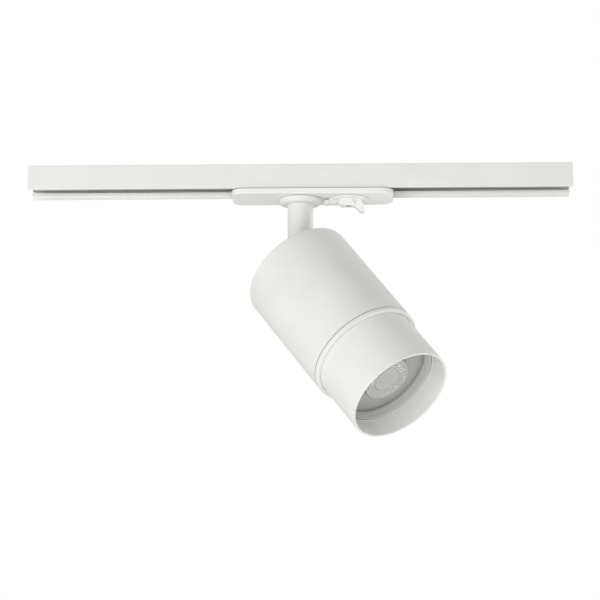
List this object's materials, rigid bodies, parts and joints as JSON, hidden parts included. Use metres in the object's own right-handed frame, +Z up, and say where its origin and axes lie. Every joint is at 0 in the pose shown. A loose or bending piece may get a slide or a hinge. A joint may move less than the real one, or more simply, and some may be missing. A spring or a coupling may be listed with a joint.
{
  "type": "track spotlight",
  "caption": "White round spotlight on a short length of track: telescopic lens barrel, tilting head on a swivel stem, and a sliding adapter with a locking lever.",
  "frame": {"origin": "on the track's ceiling face, midway between its two ceiling screw holes", "axes": "+Z up, out of the ceiling face; +X along the track; -Y towards the side the head is turned to"},
  "size_m": [0.404, 0.1356, 0.2075],
  "materials": {
    "track_paint": "white powder coat on extruded aluminium, fine grain",
    "head_paint": "matt warm-white powder coat on aluminium",
    "white_plastic": "matt white moulded plastic",
    "insulation": "grey moulded insulating plastic",
    "driver_plastic": "dark potting case",
    "copper": "bare copper, lightly tarnished",
    "steel": "zinc-plated steel",
    "bare_aluminium": "bare aluminium",
    "phosphor": "yellow LED phosphor under clear resin",
    "bezel_finish": "satin light-grey moulded bezel",
    "clear_lens": "clear moulded optic with a frosted centre",
    "felt": "grey felt band",
    "lead_sheath": "white PVC sheath"
  },
  "bodies": {
    "track": {"track_profile": "track_paint", "near_insulator": "insulation", "far_insulator": "insulation", "live_conductor": "copper", "neutral_conductor": "copper", "earth_strip": "copper"},
    "adapter": {"adapter_plate": "white_plastic", "adapter_housing": "white_plastic", "plate_screws": "steel", "retaining_clip": "steel", "earth_contact": "copper", "terminal_block": "insulation"},
    "lock_lever": {"lever_handle": "white_plastic", "lever_rotor": "insulation", "latch_cam": "steel", "live_blade": "copper", "neutral_blade": "copper", "lever_screw": "steel"},
    "stem": {"swivel_disc": "head_paint", "pan_stop_pin": "steel", "swivel_nipple": "steel", "swivel_washer": "steel", "swivel_nut": "steel", "stem_tube": "head_paint", "stem_knuckle": "steel", "supply_lead": "lead_sheath"},
    "head": {"rear_housing": "head_paint", "rear_cap": "head_paint", "hinge_yoke": "steel", "hinge_pin": "steel", "hinge_nut": "steel", "tilt_washers": "insulation", "chassis_disc": "bare_aluminium", "chassis_posts": "bare_aluminium", "cap_screws": "steel", "yoke_screws": "steel", "driver_case": "driver_plastic", "heat_sink": "bare_aluminium", "sink_screws": "steel", "led_board": "bare_aluminium", "led_emitter": "phosphor", "led_holder": "white_plastic", "holder_screws": "steel", "collar_ring": "head_paint", "guide_band": "felt"},
    "barrel": {"front_barrel": "head_paint", "stop_ring": "steel", "bezel_plate": "bezel_finish", "baffle_ring": "head_paint", "lens": "clear_lens", "lens_cup": "insulation"}
  },
  "joints": [
    {"name": "track_slide", "type": "slide", "parent": "track", "child": "adapter", "axis": [1, 0, 0], "range_m": [-0.145, 0.125]},
    {"name": "lever_turn", "type": "hinge", "parent": "adapter", "child": "lock_lever", "pos_m": [0.036, 0, -0.0225], "axis": [0, 0, 1], "range_deg": [0, 90]},
    {"name": "stem_pan", "type": "hinge", "parent": "adapter", "child": "stem", "pos_m": [0, 0, -0.0225], "axis": [0, 0, 1], "range_deg": [-168, 168]},
    {"name": "head_tilt", "type": "hinge", "parent": "stem", "child": "head", "pos_m": [0, 0, -0.083], "axis": [-0.6587, -0.7524, 0], "range_deg": [-43.4, 24.6]},
    {"name": "barrel_slide", "type": "slide", "parent": "head", "child": "barrel", "axis": [0.517, -0.4526, -0.7266], "range_m": [-0.025, 0]}
  ]
}
